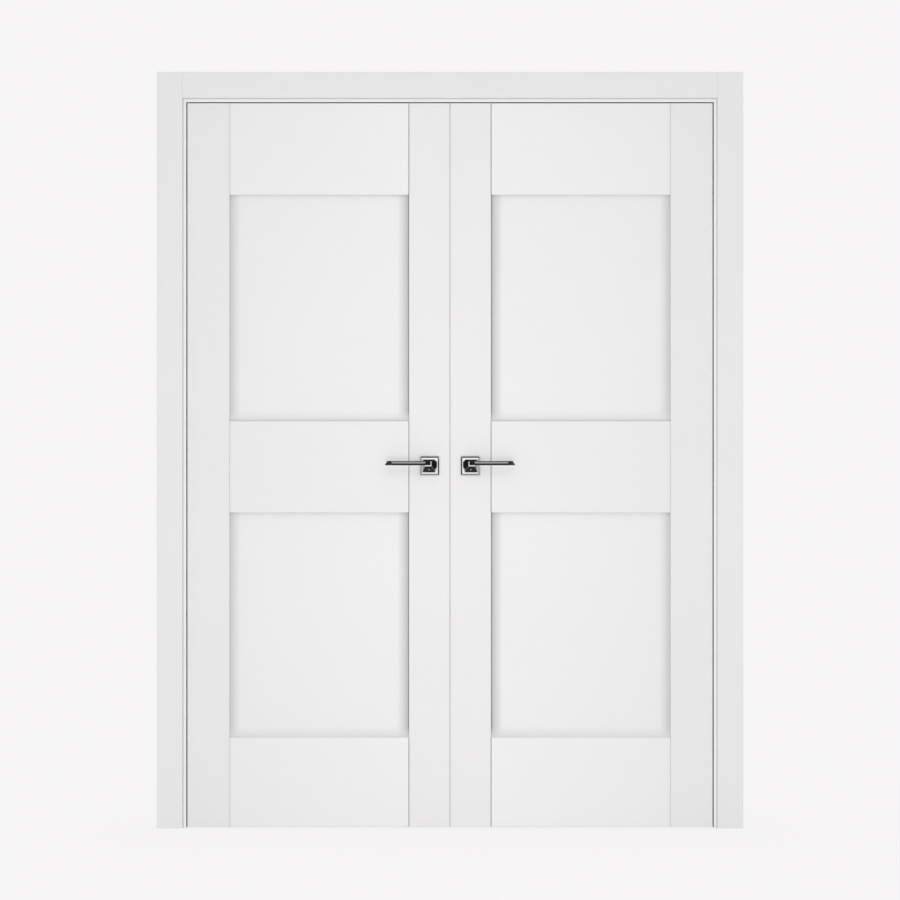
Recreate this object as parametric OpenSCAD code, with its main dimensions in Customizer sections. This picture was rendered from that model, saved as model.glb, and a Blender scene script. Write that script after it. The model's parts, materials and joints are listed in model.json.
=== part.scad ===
// French doors: a pair of two-panel leaves hung in their own frame, with casing on both sides.
// Millimetres. X to the right, Z up, the front towards -Y.
// The origin is on the floor, in the middle of the doorway, at the front edge of the jambs.

/* [Leaf] */
// Width of each leaf
leaf_w = 736; // [640:2:860]
// Thickness of each leaf
leaf_t = 40; // [38:1:46]
// Width of the hinge stiles
hinge_stile_w = 118; // [105:1:140]
// Width of the meeting stiles
meeting_stile_w = 114; // [108:1:140]
// Height of the bottom rail
bottom_rail_h = 251; // [200:1:300]
// Height of the lower panel opening
lower_opening_h = 632; // [560:1:700]
// Height of the lock rail
lock_rail_h = 256; // [220:1:300]
// Height of the upper panel opening
upper_opening_h = 636; // [560:1:700]
// Height of the top rail
top_rail_h = 257; // [200:1:300]
// Thickness of the flat panels
panel_t = 10; // [6:1:14]
// Depth of the grooves in stiles and rails
groove_d = 12; // [8:1:16]
// Room left at the bottom of each groove
groove_room = 1; // [0.5:0.5:2]
// Play of panels and tongues in the grooves, each side
groove_play = 0.1; // [0.05:0.05:0.3]
// Eased outer edges of a leaf
leaf_ease = 1; // [0.4:0.1:2]
// Eased inner edges of the hinge stiles
hinge_stile_ease = 0.6; // [0.2:0.1:1.5]
// Eased inner edges of the meeting stiles
meeting_stile_ease = 1.3; // [0.2:0.1:2]
// Depth of the eased inner edges of the meeting stiles
meeting_stile_ease_d = 4; // [1:0.5:6]
// Eased edges of the rails along the panels
rail_ease = 0.6; // [0.2:0.1:1.5]
// Shadow joint between the rails and the meeting stiles
meeting_joint = 0.8; // [0.2:0.1:1.2]
// Shadow joint between the rails and the hinge stiles
hinge_joint = 0.3; // [0.2:0.1:1]

/* [Gaps round the leaves] */
// Gap between the two leaves
meeting_gap = 3; // [3:0.5:5]
// Gap between a leaf and its jamb
side_gap = 3; // [2.5:0.5:5]
// Gap between a leaf and the head
head_gap = 3; // [2:0.5:6]
// Gap between a leaf and the floor
floor_gap = 3; // [2:1:12]

/* [Frame] */
// Thickness of the jambs
jamb_t = 32; // [30:1:45]
// Depth of the jambs, equal to the wall
jamb_depth = 116; // [105:1:180]
// Depth that the head is let into the side jambs
head_housing = 8; // [4:1:12]
// Thickness of the stops
stop_t = 12; // [10:1:16]
// Width of the stops
stop_w = 35; // [25:1:36]
// Room for the seal between a leaf and its stop
seal_room = 4; // [3.5:0.1:5]
// Play between a closed leaf and the seal
seal_play = 0.3; // [0.2:0.1:0.6]
// Radius of the seal's bulb
seal_r = 3; // [2.5:0.1:3.5]
// Thickness of the seal's stem
seal_stem_t = 3; // [2:0.2:4]
// Depth of the seal's stem in its groove
seal_stem_d = 6; // [4:0.5:8]
// Distance of the meeting seal behind the leaf's front
meeting_seal_y = 4.8; // [4.4:0.1:6.8]
// Thickness of the meeting seal
meeting_seal_t = 3.4; // [2:0.2:3.6]
// Play between the meeting seal and the other leaf
meeting_seal_play = 0.4; // [0.35:0.05:0.8]
// Width of the side casing boards
casing_w = 72; // [60:1:100]
// Width of the head casing boards
head_casing_w = 73; // [60:1:100]
// Thickness of the casing boards
casing_t = 12; // [9:1:20]
// Strip of the side jambs left bare beside the casing
reveal = 10; // [6:1:16]
// Strip of the head left bare below the casing
head_reveal = 11; // [6:1:16]
// Eased edges of the casing
casing_ease = 1.2; // [0.4:0.1:2.5]
// Radius of the fixing holes through the jambs
fixing_r = 3; // [2:0.25:4]
// Height of the lower fixing hole
fixing_low = 320; // [200:10:500]
// Height of the upper fixing hole
fixing_high = 1720; // [1400:10:1850]

/* [Hinges] */
// Height of the lowest hinge
hinge_low = 250; // [150:5:400]
// Distance of the highest hinge below the top of the leaf
hinge_top = 220; // [150:5:400]
// Inner radius of the curved arms
arm_r = 16; // [15:0.5:17]
// Thickness of the curved arms
arm_t = 6; // [4:0.5:6.5]
// Angle that the arms reach into each cup
arm_reach = 60; // [56:1:61]
// Height of the arms
arm_h = 68; // [50:1:74]
// Height of the window in the arms
arm_window = 12; // [6:1:24]
// Running clearance of the arms in their tracks
arm_play = 0.3; // [0.2:0.05:0.5]
// Height of the cup plates
cup_plate_h = 122; // [116:1:150]
// Width of the cup plates
cup_plate_w = 22; // [20:0.5:24]
// Thickness of the cup plates
cup_plate_t = 2.5; // [2:0.1:3.5]
// Depth of the cups, measured from the middle of the gap
cup_d = 22; // [21.5:0.5:26]
// Width of the cup bodies
cup_w = 18.4; // [17.8:0.2:19.6]
// Height of the cup bodies
cup_h = 80; // [78:1:84]
// Distance of the cups' middle behind the leaf's front
cup_y = 15; // [14.6:0.1:15.4]

/* [Handles] */
// Distance of the handle's axis from the meeting edge
backset = 60; // [58:1:66]
// Height of the rose's middle above the middle of the lock rail
rose_rise = 3; // [-10:1:10]
// Distance of the rose's middle from the turning axis, towards the meeting edge
rose_shift = 4.5; // [0:0.5:5]
// Height of the turning axis above the middle of the rose
axis_rise = 7.5; // [5:0.5:8]
// Side of the square rose
rose_w = 52; // [50:1:60]
// Thickness of the rose's plate
rose_t = 5; // [4:0.5:8]
// Width of the plate's bevelled edge
rose_bevel = 3.5; // [1:0.25:4]
// Depth of the plate's bevelled edge
rose_bevel_d = 0.8; // [0.3:0.05:1.5]
// Width of the boss where it meets the plate
boss_w = 41; // [38:1:42]
// Reach of the boss below the middle of the rose
boss_low = 18.5; // [16:0.5:20]
// Reach of the boss above the middle of the rose
boss_high = 17.5; // [16:0.5:20]
// Width of the boss's flat top, half of it each side of the axis
boss_top = 18; // [16:0.5:20]
// Reach of the flat top below the axis
boss_top_low = 9; // [8:0.5:10]
// Reach of the flat top above the axis
boss_top_high = 5; // [4:0.5:6]
// Height of the boss
boss_h = 3; // [2:0.25:5]
// Width of the boss's cut upper corner
cut_high_w = 6.5; // [4:0.5:8]
// Height of the boss's cut upper corner
cut_high_h = 6.5; // [4:0.5:8]
// Width of the boss's cut lower corner
cut_low_w = 5.5; // [4:0.5:8]
// Height of the boss's cut lower corner
cut_low_h = 15; // [10:0.5:16]
// Length of the lever from its axis
lever_l = 121.5; // [100:0.5:150]
// Height of the lever bar
lever_h = 12; // [11:0.2:15]
// Depth of the lever bar
lever_d = 11; // [10:0.5:14]
// Distance from the leaf to the front of the lever
lever_out = 50; // [44:1:65]
// Height of the lever's underside above the turning axis
lever_lift = -5.9; // [-6.5:0.1:-5.3]
// Height of the lower facet on the lever
lever_low_bevel = 5; // [3:0.2:5.4]
// Depth of the lower facet on the lever
lever_low_d = 1.45; // [0.5:0.05:3]
// Depth of the lever's sloping front
lever_face_d = 0.85; // [0.2:0.05:1.5]
// Height of the upper facet on the lever
lever_high_bevel = 1.9; // [1.5:0.1:4]
// Depth of the upper facet on the lever
lever_high_d = 1; // [0.5:0.1:3]
// Length of the bevel at the lever's tip
lever_tip = 21; // [8:1:25]
// Slant of the lever's end
lever_slant = 7.5; // [2:0.5:10]
// Length of the facet at the lever's inner end
lever_heel = 15.7; // [14:0.1:18]
// Reach of the lever's inner end past its axis
heel_reach = 7.3; // [6:0.1:8]
// Depth that the spindle reaches into each lever
spindle_in = 17; // [12:0.5:19]
// Radius of the collar that turns in the boss
collar_r = 7.5; // [7:0.25:8]
// Running clearance of the collar
collar_play = 0.06; // [0.03:0.01:0.1]
// Side of the square spindle
spindle_w = 8; // [7:0.5:8]
// Fit of the spindle in its square sockets
spindle_play = 0.05; // [0.03:0.01:0.1]
// Radius of the hole through the leaf for the spindle
spindle_bore = 11; // [9:0.5:13]

/* [Latch and bolts] */
// Length of the latch forend
forend_l = 196; // [170:1:220]
// Width of the edge plates
edge_plate_w = 20; // [18:0.5:22]
// Thickness of the edge plates
edge_plate_t = 3; // [2:0.25:4]
// Height of the latch case
case_h = 84; // [70:1:110]
// Thickness of the latch case
case_t = 15; // [14:0.5:17]
// Depth of the latch case past the handle's axis
case_back = 18; // [15:1:22]
// Wall of the latch case
case_wall = 1.5; // [1:0.1:2]
// Height of the latch bolt
latch_h = 24; // [18:1:30]
// Thickness of the latch bolt
latch_t = 10; // [8:0.5:10.5]
// Length of the latch bolt
latch_l = 40; // [32:1:42]
// Running clearance of the sliding bolts
bolt_play = 0.3; // [0.2:0.05:0.5]
// Throw of the latch bolt
latch_throw = 11; // [8:1:14]
// Length of the latch keep
keep_l = 90; // [76:1:130]
// Radius of the flush bolts
flush_r = 4.5; // [3.5:0.25:5]
// Length of the flush bolts
flush_l = 130; // [110:1:132]
// Throw of the flush bolts
flush_throw = 16; // [10:1:18]
// Length of the flush bolt plates
flush_plate_l = 180; // [178:1:200]
// Distance of the flush bolts behind the meeting edge
flush_in = 13; // [11:0.5:16]

/* [Screws] */
// Radius of the screw heads
screw_head_r = 4; // [3:0.25:4.25]
// Radius of the screw shanks
screw_r = 2; // [1.5:0.1:2.2]
// Length of the screws
screw_l = 26; // [16:1:27]
// Play of the screws in their holes
screw_play = 0.08; // [0.05:0.01:0.15]

/* [Hidden] */
$fn = 64;
leaf_h = bottom_rail_h + lower_opening_h + lock_rail_h + upper_opening_h + top_rail_h;
edge_in = meeting_gap / 2;
edge_out = edge_in + leaf_w;
hinge_x = edge_out + side_gap / 2;
jamb_x = edge_out + side_gap;
leaf_low = floor_gap;
leaf_high = floor_gap + leaf_h;
leaf_mid = (leaf_low + leaf_high) / 2;
head_z = leaf_high + head_gap;
rail_x0 = edge_in + meeting_stile_w;
rail_x1 = edge_out - hinge_stile_w;
bottom_rail_z = leaf_low;
lower_opening_z = bottom_rail_z + bottom_rail_h;
lock_rail_z = lower_opening_z + lower_opening_h;
upper_opening_z = lock_rail_z + lock_rail_h;
top_rail_z = upper_opening_z + upper_opening_h;
mid_y = leaf_t / 2;
groove_w = panel_t + 2 * groove_play;
tongue = groove_d - groove_room;
stop_y = leaf_t + seal_room;
casing_x = jamb_x + reveal;
casing_z = head_z + head_reveal;
fixing_y = (stop_y + stop_w + jamb_depth) / 2;
hinge_zs = [hinge_low, (hinge_low + leaf_high - hinge_top) / 2, leaf_high - hinge_top];
cup_screw = cup_plate_h / 2 - cup_plate_w / 2 + 1;
rose_z = lock_rail_z + lock_rail_h / 2 + rose_rise;
axis_x = edge_in + backset;
axis_z = rose_z + axis_rise;
boss_z = rose_t + boss_h;
cut_high_share = 0.25;
cut_low_share = 0.54;
bar_low = lever_lift;
bar_high = bar_low + lever_h;
bar_back = lever_out - lever_d;
follower_r = 11;
journal_r = spindle_w / 2 * sqrt(2) + 1.6;
flush_x = edge_in + flush_in;
thumb_h = 18;
far = 400;

white = [0.93, 0.93, 0.92];
steel = [0.62, 0.63, 0.64];
chrome = [0.75, 0.76, 0.77];
rubber = [0.35, 0.35, 0.32];

// The whole thing is drawn for the right half and mirrored for the left.
module left_side() {
    mirror([1, 0, 0])
        children();
}

// A profile in depth and height, drawn out along X.
module along_x(x0, x1) {
    translate([x0, 0, 0])
        rotate([90, 0, 90])
            linear_extrude(height = x1 - x0)
                children();
}

// A profile in X and height, drawn out along the depth.
module along_y(y0, y1) {
    translate([0, y1, 0])
        rotate([90, 0, 0])
            linear_extrude(height = y1 - y0)
                children();
}

// A profile seen from above, drawn out upwards.
module along_z(z0, z1) {
    translate([0, 0, z0])
        linear_extrude(height = z1 - z0)
            children();
}

module box(x0, x1, y0, y1, z0, z1) {
    translate([x0, y0, z0])
        cube([x1 - x0, y1 - y0, z1 - z0]);
}

// Plate with round ends: thin along X, long along Z.
module round_plate(x0, x1, y, z, w, l) {
    box(x0, x1, y - w / 2, y + w / 2, z - l / 2 + w / 2, z + l / 2 - w / 2);
    for (s = [-1, 1])
        translate([x0, y, z + s * (l - w) / 2])
            rotate([0, 90, 0])
                cylinder(r = w / 2, h = x1 - x0);
}

// Countersunk screw with its head at the origin, pointing along +X.
module screw() {
    rotate([0, 90, 0])
        difference() {
            union() {
                cylinder(r1 = screw_head_r, r2 = screw_r, h = screw_head_r - screw_r);
                cylinder(r = screw_r, h = screw_l - 3);
                translate([0, 0, screw_l - 3])
                    cylinder(r1 = screw_r, r2 = 0.4, h = 3);
            }
            for (a = [0, 90])
                rotate([0, 0, a])
                    box(-screw_head_r * 0.55, screw_head_r * 0.55, -0.45, 0.45, -1, 1.1);
        }
}

// Room for one screw.
module screw_hole() {
    rotate([0, 90, 0]) {
        translate([0, 0, -0.01])
            cylinder(
                r1 = screw_head_r + screw_play + 0.05,
                r2 = screw_r + screw_play,
                h = screw_head_r - screw_r + 0.05
            );
        translate([0, 0, -1])
            cylinder(r = screw_r + screw_play, h = screw_l + 2);
    }
}

// Places on the edges where the screws of each body sit.
module at_cup_screws() {
    for (z = hinge_zs)
        for (s = [-1, 1])
            translate([jamb_x, cup_y, z + s * cup_screw])
                children();
}

module at_leaf_cup_screws() {
    for (z = hinge_zs)
        for (s = [-1, 1])
            translate([edge_out, cup_y, z + s * cup_screw])
                mirror([1, 0, 0])
                    children();
}

module at_edge_screws(z, half) {
    for (s = [-1, 1])
        translate([edge_in, mid_y, z + s * half])
            children();
}

module at_flush_screws() {
    at_edge_screws(leaf_high - flush_plate_l + 25, 13)
        children();
}

module at_head_keep_screws() {
    for (s = [-1, 1])
        translate([flush_x + s * 18, mid_y, head_z])
            rotate([0, -90, 0])
                children();
}

// Frame

module side_jamb() {
    difference() {
        box(jamb_x, jamb_x + jamb_t, 0, jamb_depth, 0, head_z + jamb_t);
        box(jamb_x - 1, jamb_x + head_housing, -1, jamb_depth + 1, head_z, head_z + far);
        for (z = hinge_zs)
            cup_pocket(z);
        at_cup_screws()
            screw_hole();
        for (z = [fixing_low, fixing_high])
            translate([jamb_x, fixing_y, z])
                rotate([0, 90, 0]) {
                    translate([0, 0, -1])
                        cylinder(r = fixing_r, h = jamb_t + 2);
                    translate([0, 0, -0.01])
                        cylinder(r1 = 2 * fixing_r, r2 = fixing_r, h = fixing_r);
                }
    }
}

module head_board() {
    difference() {
        box(
            -jamb_x - head_housing, jamb_x + head_housing,
            0, jamb_depth, head_z, head_z + jamb_t
        );
        left_side() {
            round_head_plate(head_z - 1, head_z + edge_plate_t, 0.15);
            translate([flush_x, mid_y, head_z])
                cylinder(r = flush_r + 1.2, h = flush_throw + 6);
            at_head_keep_screws()
                screw_hole();
        }
    }
}

// Keep plate under the head, for the top flush bolt.
module round_head_plate(z0, z1, grow) {
    translate([flush_x, mid_y, z0]) {
        translate([-18, -11 - grow, 0])
            cube([36, 22 + 2 * grow, z1 - z0]);
        for (s = [-1, 1])
            translate([s * 18, 0, 0])
                cylinder(r = 11 + grow, h = z1 - z0);
    }
}

module head_keep() {
    difference() {
        round_head_plate(head_z, head_z + edge_plate_t, 0);
        translate([flush_x, mid_y, head_z - 1])
            cylinder(r = flush_r + 0.8, h = edge_plate_t + 2);
        at_head_keep_screws()
            screw_hole();
    }
}

module seal_groove_2d() {
    translate([-seal_stem_t / 2 - 0.05, stop_y - 1])
        square([seal_stem_t + 0.1, seal_stem_d + 1.1]);
}

// Seal seen end on, its stem pointing away from the leaf.
module seal_2d() {
    intersection() {
        translate([0, leaf_t + seal_play + seal_r])
            circle(r = seal_r);
        translate([-far, 0])
            square([2 * far, stop_y]);
    }
    translate([-seal_stem_t / 2, stop_y - 0.5])
        square([seal_stem_t, seal_stem_d + 0.5]);
}

module side_stop() {
    difference() {
        box(jamb_x - stop_t, jamb_x, stop_y, stop_y + stop_w, 0, head_z - stop_t);
        translate([jamb_x - stop_t / 2, 0, 0])
            along_z(-1, head_z + 1)
                seal_groove_2d();
    }
}

module side_seal() {
    translate([jamb_x - stop_t / 2, 0, 0])
        along_z(0, head_z - stop_t)
            seal_2d();
}

module top_stop() {
    difference() {
        box(-jamb_x, jamb_x, stop_y, stop_y + stop_w, head_z - stop_t, head_z);
        translate([0, 0, head_z - stop_t / 2])
            along_x(-jamb_x - 1, jamb_x + 1)
                rotate(-90)
                    mirror([1, 0])
                        seal_groove_2d();
    }
}

module top_seal() {
    translate([0, 0, head_z - stop_t / 2])
        along_x(-jamb_x, jamb_x)
            rotate(-90)
                mirror([1, 0])
                    seal_2d();
}

// Casing board seen end on: its back on the wall, two eased front edges.
module casing_2d(x0, x1) {
    polygon([
        [x0, 0],
        [x1, 0],
        [x1, -casing_t + casing_ease],
        [x1 - casing_ease, -casing_t],
        [x0 + casing_ease, -casing_t],
        [x0, -casing_t + casing_ease]
    ]);
}

module casing_leg() {
    along_z(0, casing_z + head_casing_w)
        casing_2d(casing_x, casing_x + casing_w);
}

module casing_top() {
    along_x(-casing_x, casing_x)
        rotate(90)
            mirror([0, 1])
                rotate(0)
                    casing_2d(casing_z, casing_z + head_casing_w);
}

module back_side() {
    translate([0, jamb_depth, 0])
        mirror([0, 1, 0])
            children();
}

// Concealed hinges

module arc_band(r0, r1, a0, a1, h) {
    rotate([0, 0, a0])
        rotate_extrude(angle = a1 - a0)
            translate([r0, -h / 2])
                square([r1 - r0, h]);
}

// Curved track that the arms slide in, from the gap into the jamb.
module arm_track(z) {
    translate([hinge_x, 0, z])
        arc_band(
            arm_r - arm_play, arm_r + arm_t + arm_play,
            90 - arm_reach - 2, 95, arm_h + 2 * arm_play
        );
}

module hinge_cup(z) {
    difference() {
        union() {
            round_plate(jamb_x, jamb_x + cup_plate_t, cup_y, z, cup_plate_w, cup_plate_h);
            box(
                jamb_x + cup_plate_t - 0.5, hinge_x + cup_d,
                cup_y - cup_w / 2, cup_y + cup_w / 2,
                z - cup_h / 2, z + cup_h / 2
            );
        }
        arm_track(z);
        at_cup_screws()
            screw_hole();
    }
}

module cup_pocket(z) {
    round_plate(
        jamb_x - 1, jamb_x + cup_plate_t, cup_y, z,
        cup_plate_w + 0.2, cup_plate_h + 0.2
    );
    box(
        jamb_x, hinge_x + cup_d + 0.1,
        cup_y - cup_w / 2 - 0.1, cup_y + cup_w / 2 + 0.1,
        z - cup_h / 2 - 0.1, z + cup_h / 2 + 0.1
    );
}

// The same cup, turned over into the edge of the leaf.
module leaf_half() {
    translate([2 * hinge_x, 0, 0])
        mirror([1, 0, 0])
            children();
}

module hinge_arm(z) {
    translate([hinge_x, 0, z])
        difference() {
            arc_band(arm_r, arm_r + arm_t, 90 - arm_reach, 90 + arm_reach, arm_h);
            arc_band(arm_r - 1, arm_r + arm_t + 1, 54, 126, arm_window);
        }
}

// Leaf

// Stile seen from above, with its groove at zero and its outer edge at w.
module stile_2d(w, ease, ease_d) {
    polygon([
        [ease, 0],
        [w - leaf_ease, 0],
        [w, leaf_ease],
        [w, leaf_t - leaf_ease],
        [w - leaf_ease, leaf_t],
        [ease, leaf_t],
        [0, leaf_t - ease_d],
        [0, mid_y + groove_w / 2],
        [groove_d, mid_y + groove_w / 2],
        [groove_d, mid_y - groove_w / 2],
        [0, mid_y - groove_w / 2],
        [0, ease_d]
    ]);
}

module hinge_stile() {
    difference() {
        along_z(leaf_low, leaf_high)
            translate([rail_x1, 0])
                stile_2d(hinge_stile_w, hinge_stile_ease, hinge_stile_ease);
        leaf_half()
            for (z = hinge_zs)
                cup_pocket(z);
        at_leaf_cup_screws()
            screw_hole();
    }
}

module meeting_stile() {
    difference() {
        along_z(leaf_low, leaf_high)
            translate([rail_x0, 0])
                mirror([1, 0])
                    stile_2d(meeting_stile_w, meeting_stile_ease, meeting_stile_ease_d);
        translate([axis_x, -1, axis_z])
            rotate([-90, 0, 0])
                cylinder(r = spindle_bore, h = leaf_t + 2);
    }
}

module edge_recess(z, l) {
    round_plate(edge_in - 1, edge_in + edge_plate_t, mid_y, z, edge_plate_w + 0.2, l + 0.2);
}

module active_stile() {
    difference() {
        meeting_stile();
        edge_recess(axis_z, forend_l);
        box(
            edge_in, axis_x + case_back + 0.1,
            mid_y - case_t / 2 - 0.1, mid_y + case_t / 2 + 0.1,
            axis_z - case_h / 2 - 0.1, axis_z + case_h / 2 + 0.1
        );
        at_edge_screws(axis_z, forend_l / 2 - 12)
            screw_hole();
    }
}

module passive_stile() {
    difference() {
        meeting_stile();
        edge_recess(axis_z, keep_l);
        box(
            edge_in, edge_in + edge_plate_t + latch_throw + 3,
            mid_y - latch_t / 2 - 1.5, mid_y + latch_t / 2 + 1.5,
            axis_z - latch_h / 2 - 2, axis_z + latch_h / 2 + 2
        );
        at_edge_screws(axis_z, keep_l / 2 - 12)
            screw_hole();
        flush_mortise();
        upside_down()
            flush_mortise();
        box(
            edge_in - 1, edge_in + seal_stem_d + 0.1,
            meeting_seal_y - 1.25, meeting_seal_y + 1.25,
            leaf_low - 1, leaf_high + 1
        );
    }
}

// Seal along the meeting edge of the left leaf, reaching across the gap.
module edge_seal() {
    r = meeting_seal_t / 2;
    along_z(leaf_low, leaf_high) {
        translate([edge_in, meeting_seal_y - 1.2])
            square([seal_stem_d, 2.4]);
        intersection() {
            translate([-edge_in + meeting_seal_play, meeting_seal_y - r])
                square([meeting_gap - meeting_seal_play, 2 * r]);
            union() {
                translate([-edge_in + meeting_seal_play + r, meeting_seal_y])
                    circle(r = r);
                translate([-edge_in + meeting_seal_play + r, meeting_seal_y - r])
                    square([meeting_gap, 2 * r]);
            }
        }
    }
}

// Rail between the stiles, with a tongue at each end and grooves for the panels.
module rail(z0, h, low_groove, high_groove) {
    e = rail_ease;
    difference() {
        union() {
            along_x(rail_x0 + meeting_joint, rail_x1 - hinge_joint)
                polygon([
                    [e, z0],
                    [leaf_t - e, z0],
                    [leaf_t, z0 + e],
                    [leaf_t, z0 + h - e],
                    [leaf_t - e, z0 + h],
                    [e, z0 + h],
                    [0, z0 + h - e],
                    [0, z0 + e]
                ]);
            box(
                rail_x0 - tongue, rail_x1 + tongue,
                mid_y - panel_t / 2, mid_y + panel_t / 2,
                z0 + low_groove * groove_d, z0 + h - high_groove * groove_d
            );
        }
        if (low_groove > 0)
            rail_groove(z0 - 1, z0 + groove_d);
        if (high_groove > 0)
            rail_groove(z0 + h - groove_d, z0 + h + 1);
    }
}

module rail_groove(z0, z1) {
    box(rail_x0 - far, rail_x1 + far, mid_y - groove_w / 2, mid_y + groove_w / 2, z0, z1);
}

module top_rail() {
    rail(top_rail_z, top_rail_h, 1, 0);
}

module lock_rail() {
    rail(lock_rail_z, lock_rail_h, 1, 1);
}

module bottom_rail() {
    rail(bottom_rail_z, bottom_rail_h, 0, 1);
}

module panel(z0, h) {
    box(
        rail_x0 - tongue, rail_x1 + tongue,
        mid_y - panel_t / 2, mid_y + panel_t / 2,
        z0 - tongue, z0 + h + tongue
    );
}

// Handles, drawn on the front of the right leaf and turned over for the back.

module at_back() {
    translate([0, leaf_t, 0])
        mirror([0, 1, 0])
            children();
}

module rose() {
    translate([axis_x - rose_shift, 0, rose_z])
        difference() {
            union() {
                intersection() {
                    along_z(-rose_w, rose_w)
                        plate_2d();
                    rotate([0, 90, 0])
                        along_z(-rose_w, rose_w)
                            plate_2d();
                }
                boss();
            }
            translate([rose_shift, 1, axis_rise])
                rotate([90, 0, 0])
                    cylinder(r = collar_r + collar_play, h = boss_z + 2);
        }
}

module plate_2d() {
    slope_2d(rose_w / 2, rose_w / 2, rose_bevel, rose_bevel, rose_t - rose_bevel_d, rose_t);
}

// Plate edge on: straight up to a first height, then sloping in to the top.
module slope_2d(low, high, in_low, in_high, t0, t1) {
    polygon([
        [-low, 0],
        [high, 0],
        [high, -t0],
        [high - in_high, -t1],
        [-low + in_low, -t1],
        [-low, -t0]
    ]);
}

// Boss with four sloping sides, its flat top round the turning axis, and two cut corners on the
// side away from the lever.
module boss() {
    b = boss_w / 2;
    x0 = rose_shift - boss_top / 2;
    x1 = rose_shift + boss_top / 2;
    z0 = axis_rise - boss_top_low;
    z1 = axis_rise + boss_top_high;
    difference() {
        intersection() {
            along_z(-boss_low, boss_high)
                slope_2d(b, b, b + x0, b - x1, rose_t, boss_z);
            rotate([0, 90, 0])
                along_z(-b, b)
                    slope_2d(
                        boss_high, boss_low,
                        boss_high - z1, boss_low + z0,
                        rose_t, boss_z
                    );
        }
        corner_cut(
            [-b, boss_high - cut_high_h], [-b + cut_high_w, boss_high],
            [x0, z1], cut_high_share
        );
        corner_cut(
            [-b + cut_low_w, -boss_low], [-b, -boss_low + cut_low_h],
            [x0, z0], cut_low_share
        );
    }
}

// Sloping cut across one corner of the boss: it rises from the line between two points of the
// boss's foot and would reach the boss's full height at a share of the way to the flat top's corner.
module corner_cut(start, end, top, share) {
    a = atan2(end[0] - start[0], start[1] - end[1]);
    run = share * (cos(a) * (start[0] - top[0]) + sin(a) * (start[1] - top[1]));
    translate([start[0], -rose_t, start[1]])
        rotate([0, -a, 0])
            rotate([0, 0, -atan2(run, boss_h)])
                translate([0, -50, -50])
                    cube([50, 100, 100]);
}

module lever() {
    translate([axis_x, 0, axis_z])
        difference() {
            union() {
                collar();
                neck();
                lever_bar();
            }
            box(
                -spindle_w / 2 - spindle_play, spindle_w / 2 + spindle_play,
                -spindle_in - 0.5, 0,
                -spindle_w / 2 - spindle_play, spindle_w / 2 + spindle_play
            );
        }
}

// Collar that turns in the boss, cut above the neck along the boss's upper slope.
module collar() {
    difference() {
        rotate([90, 0, 0])
            translate([0, 0, 0.5])
                cylinder(r = collar_r, h = boss_z + 0.3);
        along_x(-far, far)
            polygon([
                [-rose_t, boss_high - axis_rise],
                [-boss_z, boss_top_high],
                [-far, boss_top_high],
                [-far, far],
                [-rose_t, far]
            ]);
    }
}

// Neck between the collar and the bar's inner end, as high as the bar.
module neck() {
    box(
        -heel_reach, lever_heel - heel_reach,
        -bar_back - 2, -boss_z - 0.4,
        bar_low, bar_high
    );
}

// Bar end on: a lower facet, a slightly sloping front, an upper facet and a small arris below.
module bar_2d() {
    arris = 0.3;
    polygon([
        [-bar_back, bar_low],
        [-lever_out + lever_low_d + arris, bar_low],
        [-lever_out + lever_low_d, bar_low + arris],
        [-lever_out, bar_low + lever_low_bevel],
        [-lever_out + lever_face_d, bar_high - lever_high_bevel],
        [-lever_out + lever_face_d + lever_high_d, bar_high],
        [-bar_back, bar_high]
    ]);
}

// Bar with facets below, above and at both ends, and a slanting tip.
module lever_bar() {
    heel = -heel_reach;
    intersection() {
        along_x(heel, lever_l)
            bar_2d();
        along_z(bar_low, bar_high)
            polygon([
                [heel, -bar_back],
                [lever_l, -bar_back],
                [lever_l, -bar_back - 3],
                [lever_l - lever_tip, -lever_out],
                [heel + lever_heel, -lever_out],
                [heel, -lever_out + 6]
            ]);
        along_y(-lever_out, -bar_back)
            polygon([
                [heel, bar_low],
                [lever_l, bar_low],
                [lever_l - lever_slant, bar_high],
                [heel, bar_high]
            ]);
    }
}

module spindle() {
    s = spindle_w / 2;
    translate([axis_x, 0, axis_z])
        box(-s, s, -spindle_in, leaf_t + spindle_in, -s, s);
}

// Latch in the right leaf

module forend() {
    difference() {
        round_plate(
            edge_in, edge_in + edge_plate_t, mid_y, axis_z,
            edge_plate_w, forend_l
        );
        latch_way(edge_in - 1, edge_in + edge_plate_t + 1);
        at_edge_screws(axis_z, forend_l / 2 - 12)
            screw_hole();
    }
}

module latch_way(x0, x1) {
    box(
        x0, x1,
        mid_y - latch_t / 2 - bolt_play, mid_y + latch_t / 2 + bolt_play,
        axis_z - latch_h / 2 - bolt_play, axis_z + latch_h / 2 + bolt_play
    );
}

module lock_case() {
    x0 = edge_in + edge_plate_t;
    x1 = axis_x + case_back;
    difference() {
        box(
            x0, x1,
            mid_y - case_t / 2, mid_y + case_t / 2,
            axis_z - case_h / 2, axis_z + case_h / 2
        );
        box(
            x0 + case_wall, x1 - case_wall,
            mid_y - case_t / 2 + case_wall, mid_y + case_t / 2 - case_wall,
            axis_z - case_h / 2 + case_wall, axis_z + case_h / 2 - case_wall
        );
        latch_way(x0 - 1, x0 + case_wall + 1);
        translate([axis_x, 0, axis_z])
            rotate([-90, 0, 0])
                cylinder(r = journal_r + collar_play, h = leaf_t);
    }
}

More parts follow.
